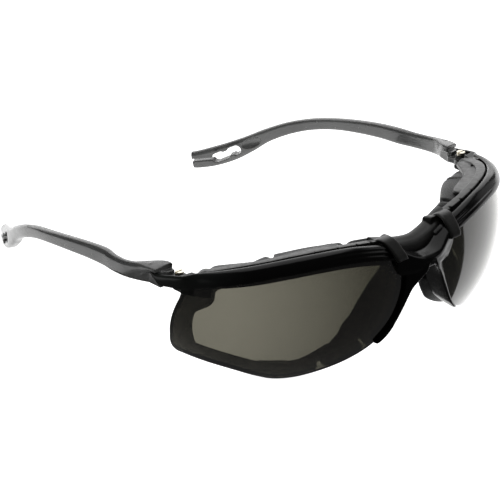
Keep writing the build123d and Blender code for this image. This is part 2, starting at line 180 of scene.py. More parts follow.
def slab(name, outline, low, high):
    """Upright prism over an (x, y) outline."""
    rings = [[Vector((x, y, z)) for x, y in outline] for z in (low, high)]
    return loft(name, rings)


TUBE_SIDES = 40


def tube(name, centre, radius, low, high):
    turns = [2 * pi * k / TUBE_SIDES for k in range(TUBE_SIDES)]
    ring = [(centre[0] + radius * cos(turn), centre[1] + radius * sin(turn)) for turn in turns]
    return slab(name, ring, low, high)


def mirror_copy(piece, name):
    """The left piece of a pair."""
    mesh = piece.data.copy()
    mesh.transform(Matrix.Diagonal((-1, 1, 1, 1)))
    mesh.flip_normals()
    mesh.name = name
    return add_object(name, mesh)


def baked(piece):
    """Replace the piece's mesh with what its modifiers make of it."""
    view = bpy.context.evaluated_depsgraph_get()
    mesh = bpy.data.meshes.new_from_object(piece.evaluated_get(view))
    piece.modifiers.clear()
    piece.data = mesh
    shade_smooth(mesh)
    return piece


def cut(piece, cutter):
    """Take the cutter's space out of the piece."""
    boolean = piece.modifiers.new("cut", "BOOLEAN")
    boolean.operation = "DIFFERENCE"
    boolean.solver = "EXACT"
    boolean.object = cutter
    baked(piece)
    bpy.data.objects.remove(cutter)
    return piece


def fuse(name, parts, voxel, rounds):
    """One moulded skin round overlapping solids, remeshed in millimetres and softened in rounds."""
    bm = bmesh.new()
    for part in parts:
        bm.from_mesh(part.data)
        bpy.data.objects.remove(part)
    mesh = bpy.data.meshes.new(name)
    bm.to_mesh(mesh)
    bm.free()
    piece = add_object(name, mesh)
    remesh = piece.modifiers.new("skin", "REMESH")
    remesh.mode = "VOXEL"
    remesh.voxel_size = voxel * MM
    smooth = piece.modifiers.new("soften", "SMOOTH")
    smooth.factor = 0.5
    smooth.iterations = rounds
    return baked(piece)


# ---- the lens's curved surface -------------------------------------------------------------

def on_lens(u, v, depth=0.0):
    """Point at an azimuth and elevation on the lens, at a depth behind its outer face."""
    reach = SIDE_R - depth
    ring = PLAN_R - SIDE_R + reach * cos(v)
    across = -ring * sin(u)
    along = reach * sin(v)
    return Vector((LENS_AXIS.x + across * cos(LENS_TILT) + along * sin(LENS_TILT),
                   LENS_AXIS.y - ring * cos(u),
                   LENS_AXIS.z - across * sin(LENS_TILT) + along * cos(LENS_TILT)))


def lens_place(point):
    """Azimuth, elevation and depth of any point near the lens."""
    dx, dy, dz = Vector(point) - LENS_AXIS
    across = dx * cos(LENS_TILT) - dz * sin(LENS_TILT)
    along = dx * sin(LENS_TILT) + dz * cos(LENS_TILT)
    arm = hypot(across, dy) - (PLAN_R - SIDE_R)
    return atan2(-across, -dy), atan2(along, arm), SIDE_R - hypot(arm, along)


def from_front(x, z, depth=0.0):
    """Azimuth and elevation of the lens point seen at x and z from the front."""
    dx = x - LENS_AXIS.x
    dz = z - LENS_AXIS.z
    across = dx * cos(LENS_TILT) - dz * sin(LENS_TILT)
    along = dx * sin(LENS_TILT) + dz * cos(LENS_TILT)
    v = asin(along / (SIDE_R - depth))
    ring = PLAN_R - SIDE_R + (SIDE_R - depth) * cos(v)
    return asin(max(-1.0, min(1.0, -across / ring))), v


SIDE_START = -50.0                       # first guess of a side point's place across the lens
SIDE_ROUNDS = 40


def from_side(y, z):
    """Azimuth and elevation of the lens point seen at y and z from the side, solved in rounds."""
    across = SIDE_START
    for _ in range(SIDE_ROUNDS):
        along = (z - LENS_AXIS.z + across * sin(LENS_TILT)) / cos(LENS_TILT)
        v = asin(along / SIDE_R)
        ring = PLAN_R - SIDE_R + SIDE_R * cos(v)
        u = acos((LENS_AXIS.y - y) / ring)
        across = -ring * sin(u)
    return u, v


def spread(u, v):
    """Flat map of the lens surface in millimetres, with the eye opening's middle at zero."""
    return Vector((PLAN_R * (u - EYE_AZIMUTH), SIDE_R * (v - EYE_ELEVATION)))


def unspread(p):
    return p[0] / PLAN_R + EYE_AZIMUTH, p[1] / SIDE_R + EYE_ELEVATION


# Lens outline: nose side and bottom from the front, temple end from the side, top under the brow.
LENS_EDGE = [(-8.3, 36.5), (-7.9, 31.0), (-9.6, 23.6), (-13.0, 16.8), (-18.6, 10.6), (-27.0, 6.1),
             (-36.0, 2.4), (-42.0, -0.1), (-46.5, -0.8), (-51.0, 0.6), (-57.6, 3.4)]
LENS_BACK = [(40.0, 5.0), (43.6, 4.9), (45.0, 6.4), (44.6, 9.0), (43.0, 13.0), (41.5, 17.3), (39.4, 22.5),
             (36.4, 28.8), (33.6, 33.4)]
BROW_LINE = [(-9.5, 37.0), (-14.0, 39.2), (-21.5, 41.3), (-31.0, 42.9), (-42.0, 42.9),
             (-50.0, 41.8), (-58.6, 39.4), (-64.4, 36.9), (-67.6, 34.9)]
BROW_LAP = 1.1                           # lens edge hidden inside the brow's groove


def lens_outline():
    """Closed outline on the flat map, from the nose round the bottom and back along the brow."""
    edge = [spread(*from_front(x, z)) for x, z in LENS_EDGE]
    edge += [spread(*from_side(y, z)) for y, z in LENS_BACK]
    edge += [spread(*from_front(x, z + BROW_LAP)) for x, z in reversed(BROW_LINE[1:-1])]
    return edge


EDGE_ROUND = 0.5                         # rounding of the lens edge
EDGE_STEPS = 9                           # steps over the rounded edge
FACE_ROWS = 30                           # rows from the middle of a face to its edge
RIM_DEPTHS = (0.1, 1.9)                  # the dark ground edge lies between these depths


def lens(name):
    """Curved polycarbonate wall with a rounded edge."""
    outline = even_loop(lens_outline(), STATIONS)
    flat = [p * (1 - EDGE_ROUND / p.length) for p in outline]
    rings = [[(p * (i / FACE_ROWS), 0.0) for p in flat] for i in range(1, FACE_ROWS + 1)]
    for k in range(1, EDGE_STEPS):
        turn = pi * k / EDGE_STEPS
        rings.append([(p * (1 - EDGE_ROUND * (1 - sin(turn)) / p.length), LENS_WALL / 2 * (1 - cos(turn)))
                      for p in outline])
    rings += [[(p * (i / FACE_ROWS), LENS_WALL) for p in flat] for i in range(FACE_ROWS, 0, -1)]
    piece = loft(name, [[on_lens(*unspread(p), depth) for p, depth in ring] for ring in rings])
    for polygon in piece.data.polygons:
        depth = lens_place((polygon.center - OFFSET) / MM)[2]
        polygon.material_index = 1 if RIM_DEPTHS[0] < depth < RIM_DEPTHS[1] else 0
    return piece


# ---- foam gasket and its carrier -----------------------------------------------------------

# Front edge of the eye opening, seen from the front.
OPENING = [(-14.5, 34.0), (-18.6, 26.0), (-19.4, 20.0), (-19.8, 13.0), (-24.0, 8.0), (-31.0, 5.2),
           (-40.0, 3.9), (-48.0, 3.8), (-55.0, 5.2), (-60.8, 7.4), (-62.8, 10.6), (-64.6, 16.5),
           (-65.5, 24.0), (-63.9, 28.6), (-62.9, 34.0), (-56.0, 38.6), (-46.0, 40.8), (-34.0, 41.4),
           (-24.0, 40.0), (-17.0, 37.6)]
# Rear edge of the opening, where the foam meets the face.
OPENING_REAR = [(-11.8, 2.6, 34.0), (-16.2, 3.6, 28.6), (-20.3, 4.5, 23.3), (-23.1, 4.9, 19.5),
                (-26.0, 5.6, 16.6), (-27.4, 6.2, 13.4), (-30.4, 7.0, 11.2), (-33.9, 10.5, 7.4),
                (-38.0, 13.5, 5.0), (-41.7, 16.5, 4.8), (-48.2, 22.9, 4.7), (-51.0, 28.6, 4.6),
                (-55.2, 37.0, 6.2), (-57.2, 39.7, 6.4), (-59.3, 39.6, 12.9), (-59.8, 38.8, 19.5),
                (-60.0, 36.4, 27.0), (-58.6, 33.2, 32.4), (-52.0, 27.0, 36.2), (-42.0, 20.2, 38.0),
                (-32.0, 13.0, 39.0), (-22.0, 7.4, 39.4), (-14.5, 3.8, 38.2)]
# Outer rear edge of the foam: nose side, bottom, temple end, top.
FOAM_REAR = [(-7.0, 4.4, 38.0), (-6.9, 4.4, 30.0), (-8.3, 5.2, 23.2), (-10.9, 6.2, 17.2), (-13.1, 6.8, 13.5),
             (-15.3, 7.2, 10.4), (-19.0, 7.4, 7.6), (-24.2, 8.2, 4.8), (-30.2, 10.2, 2.4), (-38.7, 16.0, 0.6),
             (-44.7, 21.2, 0.4), (-50.7, 28.0, 1.0), (-58.0, 38.0, 2.6), (-62.6, 41.8, 6.6),
             (-64.4, 42.4, 13.0), (-65.0, 41.0, 20.0), (-64.6, 38.6, 27.0), (-62.0, 35.0, 31.5),
             (-57.4, 31.0, 35.6), (-50.0, 27.0, 37.8), (-43.6, 23.5, 40.6), (-38.6, 20.9, 41.3),
             (-32.3, 16.3, 42.7), (-26.2, 11.0, 43.9), (-20.0, 6.2, 44.9), (-13.0, 4.0, 44.4),
             (-8.6, 4.0, 42.0)]
# Top line of the rail behind the brow, seen from the front.
RAIL_TOP = [(-9.0, 42.6), (-14.0, 44.2), (-21.0, 45.5), (-29.0, 46.4), (-37.0, 46.6), (-45.0, 45.8),
            (-52.0, 44.2), (-58.0, 42.0), (-62.0, 39.6), (-63.8, 37.8)]
CARRIER_INSET = 0.2                      # carrier edge inside the lens edge


def flat_clock(p):
    """Angle round the eye of a point on the flat map."""
    return atan2(p.y, p.x)


def clock(point):
    """Angle round the eye of a point in space."""
    u, v, _ = lens_place(point)
    return flat_clock(spread(u, v))


RIM_STEPS = 16


class Rim:
    """Closed curve round the eye, read by clock angle."""

    def __init__(self, points, clock_of):
        line = smooth_line(points, RIM_STEPS, closed=True)
        marks = sorted(((clock_of(p), p) for p in line), key=lambda mark: mark[0])
        self.marks = [(marks[-1][0] - 2 * pi, marks[-1][1])] + marks + [(marks[0][0] + 2 * pi, marks[0][1])]

    def at(self, angle):
        angle = (angle + pi) % (2 * pi) - pi
        low, high = 0, len(self.marks) - 1
        while high - low > 1:
            middle = (low + high) // 2
            if self.marks[middle][0] <= angle:
                low = middle
            else:
                high = middle
        (a, p), (b, q) = self.marks[low], self.marks[high]
        return p.lerp(q, (angle - a) / max(b - a, 1e-9))


def lens_edge_inset(inset):
    """Lens outline moved towards the eye, without its brow side."""
    edge = lens_outline()[:len(LENS_EDGE) + len(LENS_BACK)]
    return [p * (1 - inset / p.length) for p in edge]


def carrier_outer():
    """Outer edge of the carrier on the flat map."""
    places = lens_edge_inset(CARRIER_INSET)[2:-1]
    middle = (CARRIER_FRONT + CARRIER_BACK) / 2
    places += [spread(*from_front(x, z, middle)) for x, z in reversed(RAIL_TOP)]
    return Rim([p.to_3d() for p in places], flat_clock)


def opening_front():
    """Front edge of the eye opening on the flat map."""
    return Rim([spread(*from_front(x, z, CARRIER_FRONT)).to_3d() for x, z in OPENING], flat_clock)


# Places of the notches between the foam's lobes, and how deep each is (0 to 1).
NOTCHES = [((-22.6, 8.6, 44.2), 1.0), ((-42.2, 22.6, 40.6), 1.0), ((-50.6, 22.5, 1.5), 0.8),
           ((-41.2, 15.0, 1.0), 0.45), ((-27.8, 8.6, 4.0), 0.4)]
NOTCH_WIDTH = 0.045                      # radians


def notch_at(angle):
    """How far a station lies inside a notch between two lobes."""
    depth = 0.0
    for place, strength in NOTCHES:
        gap = (angle - clock(place) + pi) % (2 * pi) - pi
        depth = max(depth, strength * exp(-(gap / NOTCH_WIDTH) ** 2))
    return depth


# Foam section: share of the way from the eye to the outer edge, and from carrier to face.
FOAM_SECTION = [(0.0, 0.0), (0.35, 0.0), (0.7, 0.0), (1.0, 0.0), (1.02, 0.18), (1.05, 0.45), (1.04, 0.74),
                (0.94, 0.94), (0.74, 1.03), (0.45, 1.06), (0.2, 1.05), (0.05, 1.0), (-0.02, 0.88),
                (-0.04, 0.6), (-0.02, 0.3)]
FOAM_SET_BACK = (0.88, 0.96)             # foam's front edge as a share of the carrier's: above, below
FOAM_OPENING = 1.02                      # foam's opening as a share of the carrier's
PINCH_OUTER = (0.22, 0.15)               # how far a notch draws the outer rear edge in and forward
PINCH_INNER = (0.12, 0.12)               # the same for the inner rear edge, out and forward


def foam_pad(name):
    """Soft ring between carrier and face, in lobes with a pinched notch between each two."""
    inner_front = opening_front()
    outer_front = carrier_outer()
    inner_rear = Rim(OPENING_REAR, clock)
    outer_rear = Rim(FOAM_REAR, clock)
    rings = []
    for i in range(STATIONS):
        angle = 2 * pi * i / STATIONS
        pinch = notch_at(angle)
        start_in, start_out = inner_front.at(angle), outer_front.at(angle)
        reach = FOAM_SET_BACK[0] if start_out.y > 0 else FOAM_SET_BACK[1]
        front_in = on_lens(*unspread(start_in * FOAM_OPENING), CARRIER_BACK)
        front_out = on_lens(*unspread(start_out * reach), CARRIER_BACK)
        rear_in, rear_out = inner_rear.at(angle), outer_rear.at(angle)
        if start_out.y > 0:
            rear_out = rear_out.lerp(rear_in, PINCH_OUTER[0] * pinch).lerp(front_out, PINCH_OUTER[1] * pinch)
        rear_in = rear_in.lerp(rear_out, PINCH_INNER[0] * pinch).lerp(front_in, PINCH_INNER[1] * pinch)
        ring = []
        for across, deep in FOAM_SECTION:
            ring.append(front_in.lerp(front_out, across).lerp(rear_in.lerp(rear_out, across), deep))
        rings.append(smooth_line(ring, 3, closed=True))
    return loft(name, rings, closed=True)


# Carrier section below the brow, whose lip comes forward to the back of the lens: share of
# the way from opening to outer edge, and depth behind the lens's outer face.
CARRIER_SECTION = [(0.0, 3.15), (0.06, 2.9), (0.3, 2.65), (0.6, 2.25), (0.85, 2.05), (1.0, 2.05),
                   (1.0, 4.7), (0.95, 5.3), (0.5, 5.35), (0.05, 5.3), (0.0, 5.0)]
# Above LIP_TOP_Z the carrier is a rail behind the brow, with a level top.
RAIL_SECTION = [(0.0, 3.25), (0.06, 3.0), (0.5, 3.0), (0.86, 3.0), (0.96, 2.75), (1.0, 3.1),
                (1.1, 5.6), (1.02, 6.1), (0.7, 5.4), (0.05, 5.3), (0.0, 5.0)]
LIP_TOP_Z = 35.0


def carrier_ring(name):
    """Stiff ring behind one lens: a wedge below the brow, and a rail behind it."""
    inner = opening_front()
    outer = carrier_outer()
    rings = []
    for i in range(STATIONS):
        angle = 2 * pi * i / STATIONS
        low, high = inner.at(angle), outer.at(angle)
        below_brow = on_lens(*unspread(high.xy)).z < LIP_TOP_Z
        ring = []
        for across, depth in CARRIER_SECTION if below_brow else RAIL_SECTION:
            place = low.lerp(high, across)
            ring.append(on_lens(*unspread(place.xy), depth))
        rings.append(smooth_line(ring, 2, closed=True))
    return loft(name, rings, closed=True)


# Vent ticks cut in the front of the rail: x of each.
TICKS = [-19.4, -25.2, -32.4, -39.8, -47.2, -54.6, -60.6]
TICK_DROP = 0.9                          # middle of a tick below the rail's top
TICK_HALF = 0.32                         # half its width
TICK_SECTION = [(-1.0, -0.7), (0.75, -0.7), (1.1, 1.6), (-1.0, 1.6)]     # inward and up


def rail_ticks():
    """Small blocks that cut the vent ticks into the front top edge of the rail."""
    blocks = []
    for x in TICKS:
        u, v = from_front(x, rail_height(x) - TICK_DROP, CARRIER_FRONT)
        centre = on_lens(u, v, CARRIER_FRONT)
        inward = (on_lens(u, v, CARRIER_FRONT + 1.0) - centre).normalized()
        along = (on_lens(u + 0.01, v, CARRIER_FRONT) - centre).normalized()
        up = along.cross(inward).normalized()
        if up.z < 0:
            up = -up
        rings = [[centre + along * side + inward * a + up * b for a, b in TICK_SECTION]
                 for side in (-TICK_HALF, TICK_HALF)]
        blocks.append(loft("tick", rings))
    return blocks


def rail_height(x):
    """Height of the rail's top at a place across."""
    for (x0, z0), (x1, z1) in zip(RAIL_TOP, RAIL_TOP[1:]):
        if x1 <= x <= x0:
            return z0 + (z1 - z0) * (x - x0) / (x1 - x0)
    return RAIL_TOP[-1][1]


# Outline of the ear plate's top, its cut, wall and middle.
EAR_PLATE = [(-58.6, 31.6, 38.9), (-55.6, 28.4, 39.7), (-52.0, 24.0, 40.7), (-48.0, 19.8, 41.7),
             (-43.0, 16.2, 42.9), (-37.0, 12.8, 44.2), (-29.0, 7.6, 45.9), (-30.0, 4.0, 46.2),
             (-37.0, 6.0, 46.2), (-45.0, 9.6, 45.2), (-52.0, 14.6, 43.4), (-58.0, 20.6, 41.3),
             (-61.8, 26.2, 39.7), (-61.6, 30.4, 38.8)]
EAR_SLOT = [(-57.9, 24.1), (-55.6, 22.9), (-55.9, 22.2), (-58.2, 23.4)]
PLATE_WALL = 1.6
PLATE_MIDDLE = Vector((-48.0, 18.0, 42.4))


def ear_plate():
    """Flange that slopes back from the rail and widens over the temple end of the gasket."""
    line = smooth_line(EAR_PLATE, 6, closed=True)
    rings = []
    for drop, inset in ((PLATE_WALL, 0.03), (PLATE_WALL - 0.2, 0.0), (0.25, 0.0), (0.0, 0.035)):
        rings.append([p.lerp(PLATE_MIDDLE, inset) - Vector((0.0, 0.0, drop)) for p in line])
    return cut(loft("ear", rings), slab("slot", EAR_SLOT, 30.0, 46.0))


# Stations of the saddle: x, front y and top z; then its section from there, back and up.
SADDLE = [(-17.0, -1.6, 44.9), (-13.0, -1.7, 43.7), (-9.0, -2.3, 42.6), (-5.0, -2.9, 41.7), (0.0, -3.4, 41.2)]
SADDLE_SECTION = [(-0.9, -3.6), (-0.8, -1.8), (0.2, -0.5), (2.0, 0.2), (3.8, 0.7), (5.0, 0.5), (5.4, -0.3),
                  (4.4, -1.2), (2.0, -2.4)]


def saddle():
    """Strap over the nose that joins the two eye rings."""
    rings = [[Vector((x, front + dy, top + dz)) for dy, dz in SADDLE_SECTION]
             for x, front, top in both_sides(SADDLE)]
    return smooth_loft("saddle", rings, 6)


# Middle of the hook's strap from the rail to its tip, as y and z.
HOOK_PATH = [(2.2, 43.2), (0.2, 44.8), (-1.8, 45.35), (-3.8, 44.75), (-6.0, 43.0), (-7.9, 41.0), (-8.5, 39.7)]
HOOK_ROOT_X = -14.9
HOOK_TIP_X = -12.6
HOOK_HALF = 2.7                          # half its width at the rail, and what it loses to the tip
HOOK_TAPER = 0.35
HOOK_WALL = 1.25
HOOK_SECTION = [(-1.0, -0.35), (-0.85, -0.5), (0.85, -0.5), (1.0, -0.35), (1.0, 0.3), (0.8, 0.5),
                (-0.8, 0.5), (-1.0, 0.3)]


def hook():
    """Strap that comes over the brow from the rail and grips its front."""
    path = smooth_line([Vector((0.0, y, z)) for y, z in HOOK_PATH], 6)
    rings = []
    for i, p in enumerate(path):
        share = i / (len(path) - 1)
        ahead = travel_at(path, i)
        out = Vector((0.0, ahead.z, -ahead.y)).normalized()
        if out.z < -0.2:
            out = -out
        x = HOOK_ROOT_X + (HOOK_TIP_X - HOOK_ROOT_X) * share
        half = HOOK_HALF - HOOK_TAPER * share
        rings.append([Vector((x + dx * half, p.y, p.z)) + out * up * HOOK_WALL for dx, up in HOOK_SECTION])
    return loft("hook", rings)


def gasket_carrier(name):
    """Both eye rings, their ear plates, the saddle and the hooks as one moulding."""
    ring = carrier_ring("ring")
    for block in rail_ticks():
        cut(ring, block)
    half = [ring, ear_plate(), hook()]
    other = [mirror_copy(part, "left") for part in half]
    return fuse(name, half + other + [saddle()], voxel=0.22, rounds=4)


# ---- frame ---------------------------------------------------------------------------------

# Brow section: height above the brow line, depth behind the lens face, depth of the ridge
# lines near the nose, and the depth and share of the height where the endpiece begins.
BROW_SECTION = [(-0.1, -0.7, 0.0, 0.5, 0.0), (0.3, -1.05, 0.0, 0.2, 0.05), (0.9, -1.2, 0.0, 0.05, 0.16),
                (1.5, -1.2, 0.0, 0.0, 0.3), (1.85, -1.15, 0.62, 0.0, 0.38), (2.15, -1.1, 0.55, 0.0, 0.45),
                (2.45, -1.02, 0.0, 0.0, 0.52), (2.95, -0.85, 0.0, 0.02, 0.62), (3.25, -0.72, 0.5, 0.06, 0.7),
                (3.5, -0.6, 0.42, 0.1, 0.76), (3.8, -0.4, 0.0, 0.2, 0.85), (4.35, 0.15, 0.0, 0.45, 0.95),
                (4.8, 0.9, 0.0, 0.75, 1.0), (4.95, 1.6, 0.0, 1.1, 1.0), (4.8, 2.3, 0.0, 1.45, 0.96),
                (4.3, 2.7, 0.0, 1.6, 0.85), (-1.2, 2.8, 0.0, 1.6, 0.12), (-1.5, 2.6, 0.0, 1.5, 0.04),
                (-1.5, 1.7, 0.0, 1.2, 0.0), (-0.2, 1.4, 0.0, 0.9, 0.0)]
END_HEIGHT = 4.9                         # height of the endpiece where it begins
END_FORWARD = 0.9                        # how far its wall starts in front of the lens
# Stations of the endpiece: x, y, underside and height.
ENDPIECE_PATH = [(-70.9, 33.5, 33.6, END_HEIGHT), (-71.9, 38.0, 33.1, 4.3), (-72.4, 42.0, 32.5, 3.9),
                 (-72.7, 47.4, 31.9, 3.7)]
SEAM = [(39.0, 30.7), (46.2, 35.7)]      # y and z of the slanted seam between endpiece and temple
SEAM_GAP = 0.18
BEHIND = 90.0                            # y and z past everything behind the seam
BEHIND_TOP = 66.0
RIDGE_FADE = (14.0, 40.0)                # the ridge lines fade out between these x places
RIDGE_POWER = 0.7
BROW_TURN = [0.0, 0.0, 0.0, 0.0, 0.0, 0.0, 0.1, 0.4, 0.8]                # share of the endpiece's section


def brow_band():
    """Brow of one side, with the endpiece wall that carries the hinge."""
    points = [on_lens(*from_front(x, z)) for x, z in BROW_LINE]
    rings = []
    for i, (point, turn) in enumerate(zip(points, BROW_TURN)):
        travel = travel_at(points, i).normalized()
        u, v = from_front(*BROW_LINE[i])
        inward = (on_lens(u, v, 1.0) - point).normalized()
        up = travel.cross(inward).normalized()
        if up.z < 0:
            up = -up
        fade = (RIDGE_FADE[1] + point.x) / (RIDGE_FADE[1] - RIDGE_FADE[0])
        ridge = max(0.0, min(1.0, fade)) ** RIDGE_POWER
        ring = []
        for rise, depth, groove, end_depth, end_share in BROW_SECTION:
            depth = depth + groove * ridge
            depth += (end_depth - END_FORWARD - depth) * turn
            rise += (end_share * END_HEIGHT - rise) * turn
            ring.append(point + inward * depth + up * rise)
        rings.append(ring)
    for x, y, low, height in ENDPIECE_PATH:
        rings.append([Vector((x + depth, y, low + share * height)) for _, _, _, depth, share in BROW_SECTION])
    band = smooth_loft("band", rings, 10)
    (low_y, low_z), (top_y, top_z) = SEAM
    corners = ((low_y, low_z), (top_y, top_z), (BEHIND, BEHIND_TOP), (BEHIND, low_z))
    behind = [[Vector((x, y, z)) for y, z in corners] for x in (-80.0, -60.0)]
    return cut(band, loft("behind", behind))


# Nose rim: height, x and y of the front edge, x and y of the flange's back edge,
# then the lens edge's x and how far the rim laps over it.
NOSE_RIM = [(37.0, 1.4, -10.4, 4.0, -5.2, 8.3, 0.2), (33.5, 2.3, -10.6, 5.6, -2.8, 8.1, 0.3),
            (30.5, 4.6, -9.4, 7.0, -0.4, 8.0, 0.6), (27.5, 6.8, -8.1, 8.1, 1.5, 8.5, 0.8),
            (24.5, 8.4, -7.5, 9.5, 2.5, 9.4, 0.9), (21.0, 10.3, -7.0, 11.2, 2.9, 10.9, 0.9),
            (17.5, 12.3, -6.5, 13.2, 3.0, 12.7, 0.9), (14.0, 14.6, -6.0, 15.3, 2.6, 15.3, 0.8),
            (11.4, 17.0, -5.2, 17.6, 1.2, 17.9, 0.6), (10.2, 18.4, -4.4, 18.8, 0.0, 19.3, 0.3)]


RIM_PROUD = 0.9                          # rim in front of the lens's face
RIM_LIP = 0.6                            # depth of the lip over the lens
RIM_REAR = 2.85                          # back of the rim behind the lens's face


def nose_rim():
    """Rim along the lens's nose edge, with the flange that rests beside the nose."""
    rings = []
    for z, x_front, y_front, x_back, y_back, edge, lap in NOSE_RIM:
        side = edge + lap
        face = on_lens(*from_front(-side, z)).y
        rings.append([Vector(p) for p in (
            (-x_front, y_front, z), (-(x_front + edge) / 2 - 0.5, (y_front + face) / 2 - RIM_PROUD, z),
            (-side, face - RIM_PROUD, z), (-side, face + RIM_LIP, z), (-side, face + RIM_REAR, z),
            (-x_back - 1.5, (y_back + face + RIM_REAR) / 2, z), (-x_back - 1.4, y_back, z),
            (-x_back - 0.7, y_back + 0.35, z), (-x_back, y_back, z),
            (-(x_front + x_back) / 2 + 0.15, (y_front + y_back) / 2, z))])
    return smooth_loft("rim", rings, 6)


# Stations of the bridge: x, front y, top and underside.
BRIDGE = [(-13.2, -6.3, 43.0, 36.0), (-11.2, -6.9, 42.0, 33.5), (-9.0, -7.6, 40.7, 33.3),
          (-6.5, -8.5, 39.3, 33.3), (-3.5, -9.3, 38.2, 33.5), (0.0, -9.7, 37.9, 34.2)]


def bridge_bar():
    """Bar over the nose, with a rounded front and a lip at its back."""
    rings = []
    for x, front, top, low in both_sides(BRIDGE):
        rings.append([Vector((x, front + dy, z)) for dy, z in (
            (-0.4, low), (-0.8, (low + top) / 2), (-0.9, top - 1.4), (-0.6, top - 0.5), (0.2, top),
            (1.2, top + 0.2), (3.8, top + 0.6), (5.2, top + 0.5), (5.7, top - 0.4), (5.4, top - 2.0),
            (3.4, low))])
    return smooth_loft("bridge", rings, 5)


EAR_R = 2.15
EAR_LOW = (31.75, 32.95)                 # undersides and tops of the two frame ears
EAR_HIGH = (35.45, 36.65)
ROOT = [(-70.2, 34.9), (-69.2, 32.0), (-66.6, 28.0), (-64.0, 25.6), (-62.8, 27.4), (-64.9, 31.0),
        (-65.6, 34.2)]
ROOT_TOP = 38.2                          # root block's top, which slopes up in front of ROOT_BEND_Y
ROOT_BEND_Y = 31.0
ROOT_SLOPE = 0.45


def hinge_ears():
    """Root block that slopes up to the brow, and two ears for the screw."""
    tops = [ROOT_TOP + max(0.0, ROOT_BEND_Y - y) * ROOT_SLOPE for _, y in ROOT]
    rings = [[Vector((x, y, EAR_LOW[0])) for x, y in ROOT],
             [Vector((x, y, top)) for (x, y), top in zip(ROOT, tops)]]
    parts = [loft("root", rings)]
    for low, high in (EAR_LOW, EAR_HIGH):
        parts.append(tube("ear_end", HINGE, EAR_R, low, high))
        parts.append(slab("ear_arm", [(HINGE.x - EAR_R, 33.8), (HINGE.x + EAR_R, 33.0),
                                      (HINGE.x + EAR_R, HINGE.y), (HINGE.x - EAR_R, HINGE.y)], low, high))
    return parts


def frame_front(name):
    """Brow, endpieces, bridge, nose rims and hinge ears as one moulding."""
    half = [brow_band(), nose_rim()] + hinge_ears()
    other = [mirror_copy(part, "left") for part in half]
    return fuse(name, half + other + [bridge_bar()], voxel=0.2, rounds=5)


# ---- temples -------------------------------------------------------------------------------

# Blade stations behind the hinge: centre x, y, bottom z, top z, wall thickness.
BLADE = [(-70.4, 47.2, 31.7, 38.3, 4.2), (-71.7, 52.0, 31.1, 37.2, 3.4), (-72.3, 58.0, 30.4, 36.0, 2.9),
         (-71.8, 64.0, 30.0, 35.5, 3.1), (-70.8, 70.0, 29.8, 35.5, 3.7), (-70.5, 78.0, 29.3, 34.6, 3.6),
         (-69.9, 88.0, 28.1, 32.9, 3.5), (-68.6, 99.0, 26.3, 30.6, 3.5), (-66.3, 109.0, 23.6, 28.0, 3.5),
         (-63.6, 118.0, 19.7, 24.6, 3.6), (-60.3, 126.0, 14.8, 20.5, 3.8), (-57.4, 132.0, 9.6, 16.8, 4.0),
         (-54.1, 138.0, 5.2, 13.2, 4.0), (-50.5, 144.0, 2.2, 10.0, 3.9), (-47.4, 149.0, 0.7, 7.6, 3.6),
         (-46.0, 151.2, 0.4, 6.8, 3.3)]
# Blade section as shares of wall and height: a flat outer side, a wide bevel on top.
BLADE_SECTION = [(-0.5, -0.3), (-0.42, -0.44), (-0.28, -0.5), (0.25, -0.5), (0.42, -0.43), (0.5, -0.28),
                 (0.5, 0.2), (0.46, 0.36), (0.3, 0.46), (0.1, 0.5), (-0.2, 0.48), (-0.42, 0.34), (-0.5, 0.2)]


def blade():
    """The temple's long bar, which bends down to its tip."""
    centres = [Vector((x, y, (low + top) / 2)) for x, y, low, top, _ in BLADE]
    rings = []
    for i, (x, y, low, top, wall) in enumerate(BLADE):
        travel = travel_at(centres, i).normalized()
        across = travel.cross(Vector((0, 0, 1))).normalized()
        up = across.cross(travel)
        height = (top - low) * hypot(travel.x, travel.y)
        rings.append([centres[i] + across * a * wall + up * b * height for a, b in BLADE_SECTION])
    return smooth_loft("blade", rings, 8, ring_steps=3)


SLOT_FRONT = Vector((-55.6, 135.3, 11.5))
SLOT_BACK = Vector((-50.0, 144.5, 5.5))
SLOT_HALF = 6.2                          # half its length
SLOT_RADIUS = 1.8                        # of its round ends
SLOT_DROP = 0.4                          # how far it lies below the middle of the tip
SLOT_STEPS = 12
SLOT_TEETH = ((1, [(1.6, 1.4), (0.9, 0.8), (-0.9, 0.8), (-1.6, 1.4)]),
              (-1, [(-3.2, -2.2), (-2.5, -1.6), (-0.7, -1.6), (0.0, -2.2)]))
SLIT_LEAN = radians(17.0)
SLIT_START = 5.0
SLIT_CORNERS = ((-1.0, -0.5), (13.0, -0.5), (13.0, 0.5), (-1.0, 0.5))
RECESS_PLACE = (-11.2, 0.2, 2.9)         # along, up and inward from the middle of the slot
RECESS_RADII = (4.6, 2.1, 1.9)
TIP_REACH = 5.0                          # half the length of a cutter across the tip


def tip_axes():
    """Middle of the slot, and the directions along the tip, up and across."""
    travel = (SLOT_BACK - SLOT_FRONT).normalized()
    across = travel.cross(Vector((0, 0, 1))).normalized()
    return (SLOT_FRONT + SLOT_BACK) / 2, travel, across.cross(travel), across


def tip_cutter(outline):
    """Block through the tip over an outline of (along, up) places."""
    middle, travel, up, across = tip_axes()
    rings = [[middle + travel * a + up * b + across * side for a, b in outline]
             for side in (-TIP_REACH, TIP_REACH)]
    return loft("cutter", rings)


def slot_outline():
    """Cord slot with a blunt tooth on its top and bottom edge."""
    points = []
    for end, tooth in SLOT_TEETH:
        middle = end * (SLOT_HALF - SLOT_RADIUS)
        for k in range(SLOT_STEPS + 1):
            turn = pi * k / SLOT_STEPS - end * pi / 2
            points.append((middle + SLOT_RADIUS * cos(turn), SLOT_RADIUS * sin(turn) - SLOT_DROP))
        points += tooth
    return points


